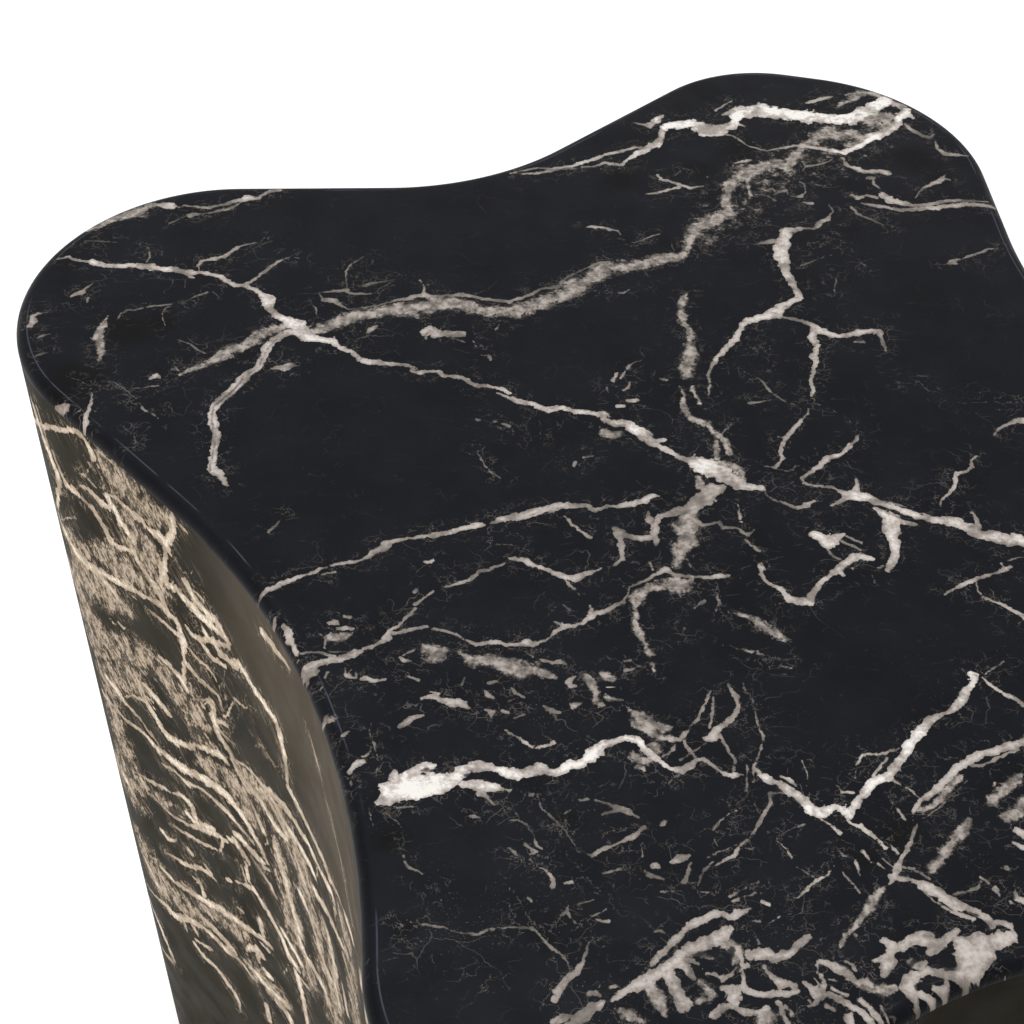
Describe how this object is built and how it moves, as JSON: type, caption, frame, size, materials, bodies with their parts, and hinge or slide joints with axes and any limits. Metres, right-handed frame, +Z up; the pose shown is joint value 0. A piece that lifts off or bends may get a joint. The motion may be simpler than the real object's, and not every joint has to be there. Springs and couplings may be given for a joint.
{
  "type": "side table",
  "caption": "Side table with a soft-edged four-lobed top on a closed curved column of the same outline, finished all over in a lacquered black veined marble print.",
  "frame": {"origin": "on the floor, under the middle of the outline's bounding box", "axes": "+Z up; +Y away from the viewer of the picture, towards the lobe at its top; +X to the viewer's right, along the longest extent"},
  "size_m": [0.5138, 0.4756, 0.5],
  "materials": {
    "marble_print": "satin",
    "board": "matte",
    "sealed_board": "matte",
    "timber": "matte",
    "zinc_steel": "satin",
    "nylon": "matte"
  },
  "bodies": {
    "root": {"top_panel": "marble_print", "wall_panel_left": "marble_print", "wall_panel_front": "marble_print", "wall_panel_right": "marble_print", "wall_panel_back": "marble_print", "top_former": "board", "mid_former": "board", "base_panel": "sealed_board", "post_left": "timber", "post_front": "timber", "post_right": "timber", "post_back": "timber", "post_screw_upper_left": "zinc_steel", "post_screw_upper_front": "zinc_steel", "post_screw_upper_right": "zinc_steel", "post_screw_upper_back": "zinc_steel", "post_screw_lower_left": "zinc_steel", "post_screw_lower_front": "zinc_steel", "post_screw_lower_right": "zinc_steel", "post_screw_lower_back": "zinc_steel", "dowel_left": "timber", "dowel_front": "timber", "dowel_right": "timber", "dowel_back": "timber", "top_screw_1": "zinc_steel", "top_screw_2": "zinc_steel", "top_screw_3": "zinc_steel", "top_screw_4": "zinc_steel", "top_screw_5": "zinc_steel", "top_screw_6": "zinc_steel", "glide_left": "nylon", "glide_front": "nylon", "glide_right": "nylon", "glide_back": "nylon", "glide_screw_left": "zinc_steel", "glide_screw_front": "zinc_steel", "glide_screw_right": "zinc_steel", "glide_screw_back": "zinc_steel"}
  },
  "joints": []
}
